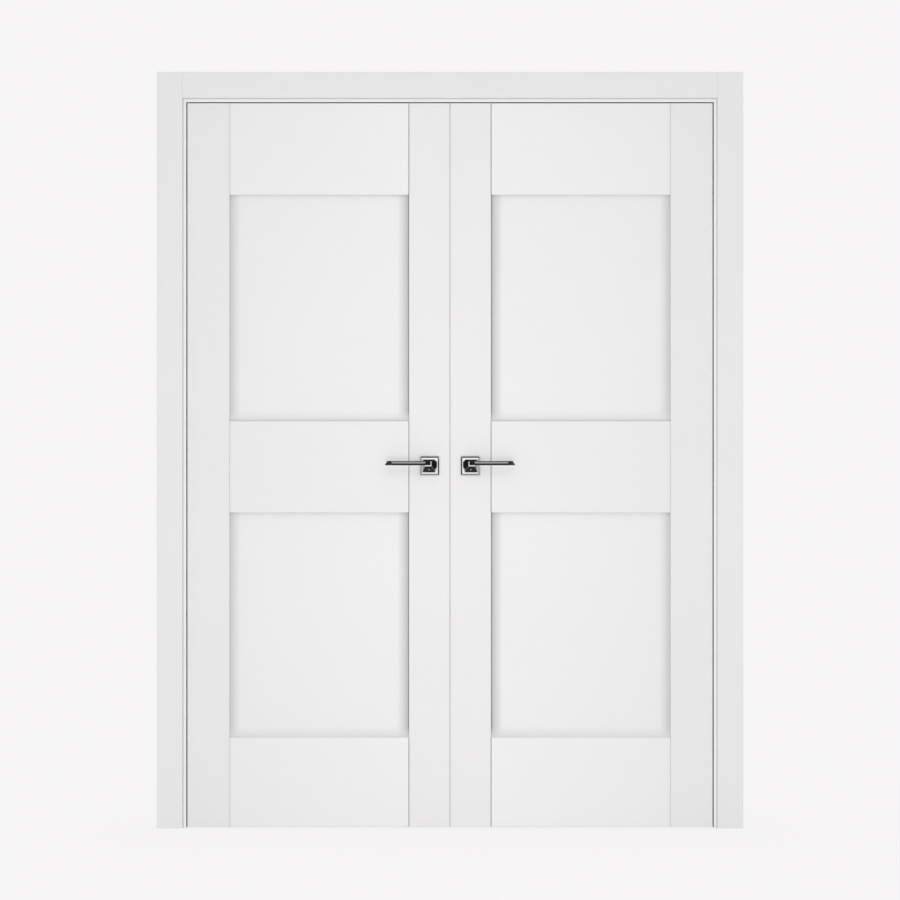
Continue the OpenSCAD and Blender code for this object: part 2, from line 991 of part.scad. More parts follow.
// Square-holed follower that the spindle turns, with a finger for the bolt.
module follower() {
    t = case_t / 2 - case_wall - 0.3;
    translate([axis_x, mid_y, axis_z])
        difference() {
            union() {
                rotate([90, 0, 0])
                    translate([0, 0, -t])
                        cylinder(r = follower_r, h = 2 * t);
                rotate([90, 0, 0])
                    translate([0, 0, -case_t / 2])
                        cylinder(r = journal_r, h = case_t);
                rotate([0, -45, 0])
                    box(-3, 3, -t + 1, t - 1, 0, 24);
            }
            box(
                -spindle_w / 2 - spindle_play, spindle_w / 2 + spindle_play,
                -far, far,
                -spindle_w / 2 - spindle_play, spindle_w / 2 + spindle_play
            );
        }
}

// Latch bolt, drawn back flush with the forend, with a magnet let into its face.
module sliding_latch() {
    x0 = edge_in + 0.2;
    difference() {
        box(
            x0, x0 + latch_l,
            mid_y - latch_t / 2, mid_y + latch_t / 2,
            axis_z - latch_h / 2, axis_z + latch_h / 2
        );
        for (s = [-1, 1])
            translate([0, mid_y + s * latch_t / 2, 0])
                rotate([0, 0, 45])
                    box(-0.6, 0.6, -0.6, 0.6, 0, far * 5);
        translate([x0 - 1, mid_y, axis_z])
            rotate([0, 90, 0])
                difference() {
                    cylinder(r = latch_t / 2 - 1.2, h = 1.6);
                    cylinder(r = latch_t / 2 - 1.8, h = 1.6);
                }
    }
}

// Keep in the edge of the left leaf
module keep() {
    difference() {
        round_plate(
            edge_in, edge_in + edge_plate_t, mid_y, axis_z,
            edge_plate_w, keep_l
        );
        box(
            edge_in - 1, edge_in + edge_plate_t + 1,
            mid_y - latch_t / 2 - 0.8, mid_y + latch_t / 2 + 0.8,
            axis_z - latch_h / 2 - 1, axis_z + latch_h / 2 + 1
        );
        at_edge_screws(axis_z, keep_l / 2 - 12)
            screw_hole();
    }
}

// Flush bolts in the edge of the left leaf, drawn for the top and turned over for the bottom.

module upside_down() {
    translate([0, 0, 2 * leaf_mid])
        mirror([0, 0, 1])
            children();
}

module flush_plate() {
    w = edge_plate_w / 2;
    z = leaf_high;
    difference() {
        union() {
            box(
                edge_in, edge_in + edge_plate_t,
                mid_y - w, mid_y + w,
                z - flush_plate_l + w, z
            );
            translate([edge_in, mid_y, z - flush_plate_l + w])
                rotate([0, 90, 0])
                    cylinder(r = w, h = edge_plate_t);
            box(
                edge_in, flush_x + flush_r + 5,
                mid_y - w, mid_y + w,
                z - edge_plate_t, z
            );
        }
        translate([flush_x, mid_y, z - edge_plate_t - 1])
            cylinder(r = flush_r + bolt_play, h = edge_plate_t + 2);
        box(
            edge_in - 1, edge_in + edge_plate_t + 1,
            mid_y - 3.8, mid_y + 3.8,
            z - flush_l - 0.5, z - flush_l + thumb_h + flush_throw + 0.5
        );
        at_flush_screws()
            screw_hole();
    }
}

module flush_mortise() {
    w = edge_plate_w / 2 + 0.1;
    z = leaf_high;
    box(
        edge_in - 1, edge_in + edge_plate_t,
        mid_y - w, mid_y + w,
        z - flush_plate_l + w, z + 1
    );
    translate([edge_in - 1, mid_y, z - flush_plate_l + w])
        rotate([0, 90, 0])
            cylinder(r = w, h = edge_plate_t + 1);
    box(
        edge_in - 1, flush_x + flush_r + 5.1,
        mid_y - w, mid_y + w,
        z - edge_plate_t, z + 1
    );
    translate([flush_x, mid_y, z - flush_l - 2])
        cylinder(r = flush_r + 0.5, h = flush_l + 3);
    box(
        edge_in, flush_x,
        mid_y - 4.2, mid_y + 4.2,
        z - flush_l - 2, z - flush_l + thumb_h + flush_throw + 2
    );
    at_flush_screws()
        screw_hole();
}

module flush_bolt() {
    z = leaf_high;
    difference() {
        union() {
            translate([flush_x, mid_y, z - flush_l])
                cylinder(r = flush_r, h = flush_l - 0.3);
            box(
                edge_in + 0.6, flush_x,
                mid_y - 3.4, mid_y + 3.4,
                z - flush_l, z - flush_l + thumb_h
            );
        }
        for (i = [0:3])
            box(
                edge_in, edge_in + 1.2,
                mid_y - far, mid_y + far,
                z - flush_l + 3.4 + 3.4 * i, z - flush_l + 4.4 + 3.4 * i
            );
    }
}

// Sub-parts

module left_jamb() { color(white) left_side() side_jamb(); }
module right_jamb() { color(white) side_jamb(); }
module head_jamb() { color(white) head_board(); }
module left_stop() { color(white) left_side() side_stop(); }
module right_stop() { color(white) side_stop(); }
module head_stop() { color(white) top_stop(); }
module left_seal() { color(rubber) left_side() side_seal(); }
module right_seal() { color(rubber) side_seal(); }
module head_seal() { color(rubber) top_seal(); }
module front_casing_left() { color(white) left_side() casing_leg(); }
module front_casing_right() { color(white) casing_leg(); }
module front_casing_head() { color(white) casing_top(); }
module back_casing_left() { color(white) back_side() left_side() casing_leg(); }
module back_casing_right() { color(white) back_side() casing_leg(); }
module back_casing_head() { color(white) back_side() casing_top(); }

module right_frame_hinge_cups() {
    color(steel)
        for (z = hinge_zs)
            hinge_cup(z);
}

module left_frame_hinge_cups() {
    left_side()
        right_frame_hinge_cups();
}

module frame_screws() {
    color(steel) {
        at_cup_screws()
            screw();
        left_side() {
            at_cup_screws()
                screw();
            at_head_keep_screws()
                screw();
        }
    }
}

module head_bolt_keep() { color(steel) left_side() head_keep(); }

module left_hinge_stile() { color(white) left_side() hinge_stile(); }
module left_meeting_stile() { color(white) left_side() passive_stile(); }
module left_top_rail() { color(white) left_side() top_rail(); }
module left_lock_rail() { color(white) left_side() lock_rail(); }
module left_bottom_rail() { color(white) left_side() bottom_rail(); }
module left_upper_panel() { color(white) left_side() panel(upper_opening_z, upper_opening_h); }
module left_lower_panel() { color(white) left_side() panel(lower_opening_z, lower_opening_h); }

module right_hinge_stile() { color(white) hinge_stile(); }
module right_meeting_stile() { color(white) active_stile(); }
module right_top_rail() { color(white) top_rail(); }
module right_lock_rail() { color(white) lock_rail(); }
module right_bottom_rail() { color(white) bottom_rail(); }
module right_upper_panel() { color(white) panel(upper_opening_z, upper_opening_h); }
module right_lower_panel() { color(white) panel(lower_opening_z, lower_opening_h); }

module right_leaf_hinge_cups() {
    color(steel)
        leaf_half()
            right_frame_hinge_cups();
}

module left_leaf_hinge_cups() {
    left_side()
        right_leaf_hinge_cups();
}

module right_leaf_screws() {
    color(steel) {
        at_leaf_cup_screws()
            screw();
        at_edge_screws(axis_z, forend_l / 2 - 12)
            screw();
    }
}

module left_leaf_screws() {
    color(steel)
        left_side() {
            at_leaf_cup_screws()
                screw();
            at_edge_screws(axis_z, keep_l / 2 - 12)
                screw();
            at_flush_screws()
                screw();
            upside_down()
                at_flush_screws()
                    screw();
        }
}

module right_hinge_arms() {
    color(steel)
        for (z = hinge_zs)
            hinge_arm(z);
}

module left_hinge_arms() {
    left_side()
        right_hinge_arms();
}

module right_front_rose() { color(chrome) rose(); }
module right_back_rose() { color(chrome) at_back() rose(); }
module left_front_rose() { color(chrome) left_side() rose(); }
module left_back_rose() { color(chrome) left_side() at_back() rose(); }
module right_front_lever() { color(chrome) lever(); }
module right_back_lever() { color(chrome) at_back() lever(); }
module left_front_lever() { color(chrome) left_side() lever(); }
module left_back_lever() { color(chrome) left_side() at_back() lever(); }
module right_spindle() { color(steel) spindle(); }
module left_spindle() { color(steel) left_side() spindle(); }
module latch_case() { color(steel) lock_case(); }
module latch_forend() { color(steel) forend(); }
module latch_bolt() { color(steel) sliding_latch(); }
module latch_follower() { color(steel) follower(); }
module latch_keep() { color(steel) left_side() keep(); }
module meeting_seal() { color(white) left_side() edge_seal(); }
module top_bolt_plate() { color(steel) left_side() flush_plate(); }
module bottom_bolt_plate() { color(steel) left_side() upside_down() flush_plate(); }
module top_flush_bolt() { color(steel) left_side() flush_bolt(); }
module bottom_flush_bolt() { color(steel) left_side() upside_down() flush_bolt(); }

left_jamb();
right_jamb();
head_jamb();
left_stop();
right_stop();
head_stop();
left_seal();
right_seal();
head_seal();
front_casing_left();
front_casing_right();
front_casing_head();
back_casing_left();
back_casing_right();
back_casing_head();
left_frame_hinge_cups();
right_frame_hinge_cups();
frame_screws();
head_bolt_keep();
left_hinge_stile();
left_meeting_stile();
left_top_rail();
left_lock_rail();
left_bottom_rail();
left_upper_panel();
left_lower_panel();
left_leaf_hinge_cups();
left_leaf_screws();
left_front_rose();
left_back_rose();
latch_keep();
top_bolt_plate();
bottom_bolt_plate();
left_front_lever();
left_back_lever();
left_spindle();
top_flush_bolt();
bottom_flush_bolt();
left_hinge_arms();
right_hinge_stile();
right_meeting_stile();
right_top_rail();
right_lock_rail();
right_bottom_rail();
right_upper_panel();
right_lower_panel();
right_leaf_hinge_cups();
right_leaf_screws();
right_front_rose();
right_back_rose();
latch_case();
latch_forend();
latch_bolt();
right_front_lever();
right_back_lever();
right_spindle();
latch_follower();
right_hinge_arms();
meeting_seal();
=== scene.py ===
import json
import math

import bmesh
import bpy
from mathutils.bvhtree import BVHTree
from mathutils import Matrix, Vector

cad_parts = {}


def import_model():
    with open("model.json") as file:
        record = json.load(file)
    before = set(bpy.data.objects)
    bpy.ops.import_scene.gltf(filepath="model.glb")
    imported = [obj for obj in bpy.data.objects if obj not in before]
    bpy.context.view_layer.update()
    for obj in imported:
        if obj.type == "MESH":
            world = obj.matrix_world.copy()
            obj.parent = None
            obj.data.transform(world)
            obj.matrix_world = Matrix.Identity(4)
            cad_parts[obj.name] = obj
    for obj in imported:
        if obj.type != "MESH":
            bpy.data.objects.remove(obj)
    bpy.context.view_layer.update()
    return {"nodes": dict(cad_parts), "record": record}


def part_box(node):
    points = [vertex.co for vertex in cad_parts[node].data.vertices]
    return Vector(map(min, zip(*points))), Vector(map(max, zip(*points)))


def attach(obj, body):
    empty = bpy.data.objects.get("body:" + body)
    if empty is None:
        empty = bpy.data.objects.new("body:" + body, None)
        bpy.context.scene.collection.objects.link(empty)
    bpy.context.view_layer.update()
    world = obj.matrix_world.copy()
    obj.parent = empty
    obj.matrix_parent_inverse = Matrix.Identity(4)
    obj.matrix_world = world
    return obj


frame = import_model()
nodes = frame["nodes"]
scene = bpy.context.scene
scene.view_settings.view_transform = "Standard"

# Camera: square on to the doors, level, from far enough away to look nearly flat.
PICTURE_WIDTH = 2.5269
CAMERA_AWAY = 12.0
CAMERA_HEIGHT = 1.0613
CAMERA_SENSOR = 36.0
CAMERA_SIGHT = 80.0

# Lines, in metres from the doors' middle or the floor, along which the whites are shaded.
HINGE_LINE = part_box("right_hinge_stile")[0][0]
MEETING_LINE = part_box("right_meeting_stile")[1][0]
CASING_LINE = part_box("front_casing_right")[0][0]
CASING_HEAD_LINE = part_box("front_casing_head")[0][2]
UPPER_SILL_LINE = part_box("right_lock_rail")[1][2]
LOWER_SILL_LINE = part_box("right_bottom_rail")[1][2]

# Shades: the axis across, the line, the width to either side and the share of white on the line.
OUTWARD_SHADE = ("X", HINGE_LINE, HINGE_LINE - MEETING_LINE, 0.953)
HINGE_JOINT_SHADE = ("X", HINGE_LINE, 0.008, 0.877)
HINGE_SIDE_SHADE = ("X", HINGE_LINE, 0.030, 0.72)
MEETING_SIDE_SHADE = ("X", MEETING_LINE, 0.032, 0.64)
MEETING_JOINT_SHADE = ("X", MEETING_LINE, 0.004, 0.15)
UPPER_SILL_SHADE = ("Z", UPPER_SILL_LINE, 0.029, 0.88)
LOWER_SILL_SHADE = ("Z", LOWER_SILL_LINE, 0.029, 0.88)
CASING_SHADE = ("X", CASING_LINE, 0.0035, 0.54)
CASING_HEAD_SHADE = ("Z", CASING_HEAD_LINE, 0.0035, 0.72)
RAIL_SHADES = (OUTWARD_SHADE, HINGE_JOINT_SHADE)
PANEL_SHADES = (OUTWARD_SHADE, HINGE_SIDE_SHADE, MEETING_SIDE_SHADE, MEETING_JOINT_SHADE)

# Whites of the lacquer, in linear light: one white, painted darker on the casings and hinge stiles
# as shade of light falling off outward, and lighter on the top and bottom rails as painted light.
LOCK_RAIL_WHITE = (0.833, 0.838, 0.836)
RAIL_WHITE = (0.858, 0.863, 0.861)
PANEL_WHITE = (0.849, 0.854, 0.852)
STILE_WHITE = (0.831, 0.824, 0.822)
SHADED_EDGE_WHITE = (0.799, 0.801, 0.799)
JAMB_WHITE = (0.880, 0.880, 0.876)

# Ways the lacquer was rolled on: the squeeze of its streaks along each axis.
UPRIGHT = (6, 6, 0.35)
LEVEL = (0.35, 6, 6)
CROSSED = (2, 6, 2)

# Painted shade in the boards' corners: how far out it darkens the lacquer, and the share of white
# left in them.
BOARD_CORNER_SHADE = dict(reach=0.006, dim=0.80)
CASING_CORNER_SHADE = dict(reach=0.006, dim=0.98)
JAMB_CORNER_SHADE = dict(reach=0.004, dim=0.97)
HEAD_CORNER_SHADE = dict(reach=0.004, dim=0.70)
PANEL_CORNER_SHADE = dict(reach=0.04, dim=0.95)

# Openness at which a place counts as closed in, and the number of rays that measure it.
CLOSED_IN = 0.5
CORNER_SAMPLES = 8

# Lacquers, by the board that carries them, and the pattern that all of them have.
LACQUERS = {
    "casing": dict(pale=SHADED_EDGE_WHITE, along=UPRIGHT, **CASING_CORNER_SHADE),
    "casing_head": dict(pale=SHADED_EDGE_WHITE, along=LEVEL, **CASING_CORNER_SHADE),
    "hinge_stile": dict(pale=SHADED_EDGE_WHITE, along=UPRIGHT, **BOARD_CORNER_SHADE),
    "stile": dict(pale=STILE_WHITE, along=UPRIGHT, **BOARD_CORNER_SHADE),
    "jamb": dict(pale=JAMB_WHITE, along=UPRIGHT, shaded=(CASING_SHADE,), **JAMB_CORNER_SHADE),
    "head": dict(pale=JAMB_WHITE, along=LEVEL, shaded=(CASING_HEAD_SHADE,), **HEAD_CORNER_SHADE),
    "rail": dict(pale=RAIL_WHITE, along=LEVEL, shaded=RAIL_SHADES, **BOARD_CORNER_SHADE),
    "lock_rail": dict(pale=LOCK_RAIL_WHITE, along=LEVEL, shaded=RAIL_SHADES, **BOARD_CORNER_SHADE),
    "upper_panel": dict(
        pale=PANEL_WHITE, along=CROSSED, shaded=(*PANEL_SHADES, UPPER_SILL_SHADE), **PANEL_CORNER_SHADE
    ),
    "lower_panel": dict(
        pale=PANEL_WHITE, along=CROSSED, shaded=(*PANEL_SHADES, LOWER_SILL_SHADE), **PANEL_CORNER_SHADE
    ),
}
LACQUER_CLOUDS = dict(scale=3.0, detail=3.0)
LACQUER_CLOUD_DIM = 0.985
LACQUER_STREAKS = dict(scale=60.0, detail=4.0, roughness=0.6)
LACQUER_STREAK_RELIEF = dict(strength=0.03, distance=0.0005)
LACQUER_SKIN = dict(scale=480.0)
LACQUER_SKIN_RELIEF = dict(strength=0.05, distance=0.0003)
LACQUER_ROUGHNESS = (0.34, 0.44)

# Polished chrome.
CHROME = (0.36, 0.357, 0.354)
CHROME_SMEARS = dict(scale=42.0, detail=3.0)
CHROME_SMEAR_DIM = 0.93
CHROME_HAIRLINES = dict(scale=6.0, detail=3.0, roughness=0.65)
CHROME_WIPED = (30, 400, 400)
CHROME_RELIEF = dict(strength=0.012, distance=0.0002)
CHROME_ROUGHNESS = (0.05, 0.10)

# Brushed metals: two colours, the squeeze of the brush lines along each axis and the roughness.
METALS = {
    "satin_nickel": dict(
        pale=(0.60, 0.585, 0.56), dark=(0.47, 0.455, 0.43), along=(60, 60, 3), rough=(0.27, 0.42)
    ),
    "black_nickel": dict(
        pale=(0.10, 0.10, 0.10), dark=(0.06, 0.06, 0.062), along=(40, 40, 4), rough=(0.38, 0.53)
    ),
    "steel": dict(
        pale=(0.58, 0.59, 0.60), dark=(0.44, 0.45, 0.47), along=(25, 25, 25), rough=(0.29, 0.44)
    ),
}
BRUSH_LINES = dict(scale=8.0, detail=5.0, roughness=0.7)
BRUSH_RELIEF = dict(strength=0.08, distance=0.0003)
METAL_CLOUDS = dict(scale=30.0, detail=4.0)
METAL_CLOUD_SHARE = 0.25

# Rubbers of the seals.
RUBBERS = {
    "seal_rubber": dict(pale=(0.25, 0.24, 0.19), dark=(0.17, 0.16, 0.125)),
    "white_seal": dict(pale=(0.86, 0.86, 0.85), dark=(0.80, 0.80, 0.79)),
}
RUBBER_BLOOM = dict(scale=55.0, detail=4.0, roughness=0.6)
RUBBER_SKIN = dict(scale=1400.0)
RUBBER_RELIEF = dict(strength=0.15, distance=0.0002)
RUBBER_ROUGHNESS = (0.62, 0.80)

# Soft edges, by the end of the node's name.
SOFT_EDGES = {"_rose": 0.0005, "_lever": 0.00018}
SOFT_SEGMENTS = 2
SOFT_ANGLE = math.radians(8)
WELD_REACH = 0.000002

# Set screws: one in the lower slope of the boss on each rose, its face parallel to the leaf's.
SCREW_SIDE = 0.0015
SCREW_DROP = 0.011
SCREW_RADIUS = 0.0016
SCREW_PROUD = 0.0004
SCREW_SUNK = 0.0015
SCREW_EASE = 0.0002
SOCKET_FLAT = 0.0008
SOCKET_DEPTH = 0.0012
SCREW_SIDES = 24
PROBE_AWAY = 1.0

# Stage: the pale ground, with a share of the doors' own shadow that fades from near to far.
BACKGROUND = (0.930, 0.913, 0.922)
MATT = 0.9
WORLD_LIGHT = 0.768
FLOOR_HALF = 40.0
FLOOR_LEVEL = -0.0003
SHADOW_NEAR = 0.7
SHADOW_FAR = 2.4
SHADOW_SHARE = 0.12

# Light rig, the same before and behind the doors, in metres from the leaves' faces and the floor.
LAMPS = {
    "softbox": dict(away=3.2, up=1.15, aim=1.02, width=1.6, height=2.2, watts=3.0),
    "high_softbox": dict(away=3.2, up=2.9, aim=1.9, width=1.6, height=1.2, watts=12.0),
    "low_softbox": dict(away=3.0, up=0.32, aim=0.1, width=1.6, height=0.5, watts=13.0),
    "reflector": dict(away=3.6, up=1.06, aim=1.06, width=1.0, height=0.6, watts=3.1, mirrored=True),
}

# Dark cards that only the metal sees: beside the handles, high up and on the floor.
DARK_CARD = (0.012, 0.012, 0.013)
CARD_AWAY = 1.0
SIDE_CARD_REACH = (0.95, 1.09)
SIDE_CARDS = {"card_boss": (0.25, 0.51), "card_heel": (0.66, 0.90), "card_tip": (0.97, 1.075)}
TALL_CARDS = {"card_high": (3.0, 2.24, 3.8), "card_top": (1.6, 2.42, 4.7)}
FLOOR_CARDS = {"card_floor": (1.3, 1.93), "card_floor_far": (2.15, 3.6)}
CARD_HALF = 0.8
CARD_LIFT = 0.004


def make_camera():
    data = bpy.data.cameras.new("camera")
    data.sensor_fit = "HORIZONTAL"
    data.sensor_width = CAMERA_SENSOR
    data.lens = CAMERA_SENSOR * CAMERA_AWAY / PICTURE_WIDTH
    data.clip_end = CAMERA_SIGHT
    camera = bpy.data.objects.new("camera", data)
    camera.location = (0, -CAMERA_AWAY, CAMERA_HEIGHT)
    camera.rotation_euler = (math.radians(90), 0, 0)
    scene.collection.objects.link(camera)
    scene.camera = camera


class Paint:
    """A material with one Principled shader, and short names for the nodes that feed it."""

    def __init__(self, name):
        self.material = bpy.data.materials.new(name)
        self.material.use_nodes = True
        self.tree = self.material.node_tree
        self.tree.nodes.clear()
        self.out = self.tree.nodes.new("ShaderNodeOutputMaterial")
        self.shader = self.tree.nodes.new("ShaderNodeBsdfPrincipled")
        self.join(self.shader.outputs["BSDF"], self.out.inputs["Surface"])

    def join(self, source, target):
        self.tree.links.new(source, target)

    def constant(self, **values):
        for name, value in values.items():
            self.shader.inputs[name.replace("_", " ")].default_value = value

    def feed(self, **sources):
        for name, source in sources.items():
            self.join(source, self.shader.inputs[name.replace("_", " ")])

    def here(self):
        """The object's own coordinates, in metres."""
        return self.tree.nodes.new("ShaderNodeTexCoord").outputs["Object"]

    def place(self, squeeze=(1, 1, 1)):
        """The object's own coordinates, squeezed by a factor along each axis."""
        mapping = self.tree.nodes.new("ShaderNodeMapping")
        mapping.inputs["Scale"].default_value = squeeze
        self.join(self.here(), mapping.inputs["Vector"])
        return mapping.outputs["Vector"]

    def noise(self, vector, scale, detail=2.0, roughness=0.5):
        node = self.tree.nodes.new("ShaderNodeTexNoise")
        node.inputs["Scale"].default_value = scale
        node.inputs["Detail"].default_value = detail
        node.inputs["Roughness"].default_value = roughness
        self.join(vector, node.inputs["Vector"])
        return node.outputs["Fac"]

    def spread(self, value, low=0.0, high=1.0, start=0.3, end=0.7):
        """A value between start and end, spread evenly from low to high."""
        node = self.tree.nodes.new("ShaderNodeMapRange")
        node.inputs["From Min"].default_value = start
        node.inputs["From Max"].default_value = end
        node.inputs["To Min"].default_value = low
        node.inputs["To Max"].default_value = high
        self.join(value, node.inputs["Value"])
        return node.outputs["Result"]

    def mix(self, factor, first, second):
        """The first colour where the factor is 0, the second where it is 1."""
        node = self.tree.nodes.new("ShaderNodeMix")
        node.data_type = "RGBA"
        self.join(factor, node.inputs["Factor"])
        for value, socket in ((first, node.inputs["A"]), (second, node.inputs["B"])):
            if isinstance(value, tuple):
                socket.default_value = (*value, 1)
            else:
                self.join(value, socket)
        return node.outputs["Result"]

    def math(self, operation, *values):
        node = self.tree.nodes.new("ShaderNodeMath")
        node.operation = operation
        for value, socket in zip(values, node.inputs):
            self.join(value, socket)
        return node.outputs["Value"]

    def corners(self, distance):
        """How open a place is: 0 where it is closed in, 1 on open surfaces."""
        node = self.tree.nodes.new("ShaderNodeAmbientOcclusion")
        node.samples = CORNER_SAMPLES
        node.inputs["Distance"].default_value = distance
        return self.spread(node.outputs["AO"], start=CLOSED_IN, end=1.0)

    def beside(self, axis, line, width):
        """0 on a line so far from the doors' middle or the floor, 1 at a width to either side."""
        parts = self.tree.nodes.new("ShaderNodeSeparateXYZ")
        self.join(self.here(), parts.inputs["Vector"])
        distance = self.math("ABSOLUTE", parts.outputs[axis])
        return self.math("ABSOLUTE", self.spread(distance, -1.0, 1.0, line - width, line + width))

    def bump(self, height, strength, distance, under=None):
        node = self.tree.nodes.new("ShaderNodeBump")
        node.inputs["Strength"].default_value = strength
        node.inputs["Distance"].default_value = distance
        self.join(height, node.inputs["Height"])
        if under is not None:
            self.join(under, node.inputs["Normal"])
        return node.outputs["Normal"]


def dimmed(colour, share):
    return tuple(share * c for c in colour)


def lacquer(name, pale, along, reach, dim, shaded=()):
    """White satin lacquer, rolled on along one direction, with painted shade where it is closed in.

    It can also be shaded along what stands in front of it: each shade has the axis across it,
    the line where it is strongest, its width to either side and how much it dims there.
    """
    paint = Paint(name)
    even = paint.place()
    clouds = paint.spread(paint.noise(even, **LACQUER_CLOUDS))
    colour = paint.mix(clouds, dimmed(pale, LACQUER_CLOUD_DIM), pale)
    # Painted shade: the lacquer is darkened where occlusion closes it in.
    colour = paint.mix(paint.corners(reach), dimmed(pale, dim), colour)
    for axis, line, width, edge_dim in shaded:
        colour = paint.mix(paint.beside(axis, line, width), dimmed(pale, edge_dim), colour)
    streaks = paint.noise(paint.place(along), **LACQUER_STREAKS)
    relief = paint.bump(streaks, **LACQUER_STREAK_RELIEF)
    skin = paint.noise(even, **LACQUER_SKIN)
    paint.feed(
        Base_Color=colour,
        Roughness=paint.spread(streaks, *LACQUER_ROUGHNESS),
        Normal=paint.bump(skin, under=relief, **LACQUER_SKIN_RELIEF),
    )
    return paint.material


def polished(name, pale):
    """Polished chrome with faint smears and hairline wiping marks."""
    paint = Paint(name)
    smears = paint.noise(paint.place(), **CHROME_SMEARS)
    hairlines = paint.noise(paint.place(CHROME_WIPED), **CHROME_HAIRLINES)
    paint.constant(Metallic=1.0)
    paint.feed(
        Base_Color=paint.mix(paint.spread(smears), dimmed(pale, CHROME_SMEAR_DIM), pale),
        Roughness=paint.spread(smears, *CHROME_ROUGHNESS),
        Normal=paint.bump(hairlines, **CHROME_RELIEF),
    )
    return paint.material


def brushed(name, pale, dark, along, rough):
    """Plated metal brushed along one direction."""
    paint = Paint(name)
    lines = paint.noise(paint.place(along), **BRUSH_LINES)
    clouds = paint.noise(paint.place(), **METAL_CLOUDS)
    colour = paint.mix(paint.spread(lines), dark, pale)
    colour = paint.mix(paint.spread(clouds, high=METAL_CLOUD_SHARE), colour, dark)
    paint.constant(Metallic=1.0)
    paint.feed(
        Base_Color=colour,
        Roughness=paint.spread(lines, *rough),
        Normal=paint.bump(lines, **BRUSH_RELIEF),
    )
    return paint.material


def rubber(name, pale, dark):
    """Seal rubber with a dusty bloom and a fine extruded skin."""
    paint = Paint(name)
    even = paint.place()
    bloom = paint.noise(even, **RUBBER_BLOOM)
    skin = paint.noise(even, **RUBBER_SKIN)
    paint.feed(
        Base_Color=paint.mix(paint.spread(bloom), dark, pale),
        Roughness=paint.spread(bloom, *RUBBER_ROUGHNESS),
        Normal=paint.bump(skin, **RUBBER_RELIEF),
    )
    return paint.material


def white_of(name):
    """The lacquer of a white node, from the board that its name tells."""
    for board in ("upper_panel", "lower_panel", "lock_rail", "casing_head"):
        if name.endswith(board):
            return whites[board]
    for board in ("rail", "casing"):
        if board in name:
            return whites[board]
    if name.endswith(("_jamb", "_stop")):
        return whites["head" if name.startswith("head") else "jamb"]
    return whites["stile" if "meeting" in name else "hinge_stile"]


def dress(obj, material):
    if not obj.material_slots:
        obj.data.materials.append(material)
    for slot in obj.material_slots:
        slot.material = material


def soften(obj, width):
    """Rounds the sharp edges of a solid a little, so that they catch the light."""
    weld = obj.modifiers.new("weld", "WELD")
    weld.merge_threshold = WELD_REACH
    bevel = obj.modifiers.new("soft_edges", "BEVEL")
    bevel.width = width
    bevel.segments = SOFT_SEGMENTS
    bevel.limit_method = "ANGLE"
    bevel.angle_limit = SOFT_ANGLE
    bevel.use_clamp_overlap = True


def on_circle(radius):
    return lambda angle: radius


def on_hexagon(flat):
    """Distance to the side of a hexagon in a direction, from the distance to its flats."""
    sixth = math.radians(60)
    return lambda angle: flat / math.cos((angle % sixth) - sixth / 2)


def turned(name, rings, place, outward):
    """Closed solid of rings on an axis square to the doors: each has an outline and a height."""
    solid = bmesh.new()
    angles = [math.radians(360) * step / SCREW_SIDES for step in range(SCREW_SIDES)]
    loops = []
    for outline, height in rings:
        loops.append([
            solid.verts.new((
                place[0] + outline(angle) * math.cos(angle),
                place[1] + outward * height,
                place[2] + outline(angle) * math.sin(angle),
            ))
            for angle in angles
        ])
    for lower, upper in zip(loops, loops[1:]):
        for step in range(SCREW_SIDES):
            after = (step + 1) % SCREW_SIDES
            solid.faces.new((lower[step], lower[after], upper[after], upper[step]))
    solid.faces.new(loops[0])
    solid.faces.new(loops[-1])
    bmesh.ops.recalc_face_normals(solid, faces=solid.faces)
    mesh = bpy.data.meshes.new(name)
    solid.to_mesh(mesh)
    solid.free()
    obj = bpy.data.objects.new(name, mesh)
    scene.collection.objects.link(obj)
    return obj


def set_screw(hand, face):
    """Socket screw, set where a line square to the doors meets the lower slope of the boss."""
    rose = nodes[f"{hand}_{face}_rose"]
    low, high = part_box(rose.name)
    middle = [(a + b) / 2 for a, b in zip(low, high)]
    across = middle[0] + math.copysign(SCREW_SIDE, middle[0])
    up = middle[2] - SCREW_DROP
    outward = -1 if face == "front" else 1
    solid = BVHTree.FromPolygons(
        [v.co for v in rose.data.vertices], [p.vertices for p in rose.data.polygons]
    )
    slope = solid.ray_cast((across, outward * PROBE_AWAY, up), (0, -outward, 0))[0]
    screw = turned(f"{hand}_{face}_set_screw", (
        (on_circle(SCREW_RADIUS), -SCREW_SUNK),
        (on_circle(SCREW_RADIUS), SCREW_PROUD - SCREW_EASE),
        (on_circle(SCREW_RADIUS - SCREW_EASE), SCREW_PROUD),
        (on_hexagon(SOCKET_FLAT), SCREW_PROUD),
        (on_hexagon(SOCKET_FLAT), SCREW_PROUD - SOCKET_DEPTH),
    ), slope, outward)
    dress(screw, slot_materials["chrome"])
    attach(screw, f"{hand}_leaf")


def plain(name, colour):
    paint = Paint(name)
    paint.constant(Base_Color=(*colour, 1), Roughness=MATT)
    return paint


def quad(name, corners, material):
    mesh = bpy.data.meshes.new(name)
    mesh.from_pydata(corners, [], [tuple(range(len(corners)))])
    mesh.materials.append(material)
    obj = bpy.data.objects.new(name, mesh)
    scene.collection.objects.link(obj)
    return obj


def lit_ray(tree):
    """1 for what the camera, a reflection or a see-through part looks at directly."""
    path = tree.nodes.new("ShaderNodeLightPath")
    first = tree.nodes.new("ShaderNodeMath")
    first.operation = "MAXIMUM"
    tree.links.new(path.outputs["Is Camera Ray"], first.inputs[0])
    tree.links.new(path.outputs["Is Glossy Ray"], first.inputs[1])
    both = tree.nodes.new("ShaderNodeMath")
    both.operation = "MAXIMUM"
    tree.links.new(first.outputs[0], both.inputs[0])
    tree.links.new(path.outputs["Is Transmission Ray"], both.inputs[1])
    return both.outputs[0]


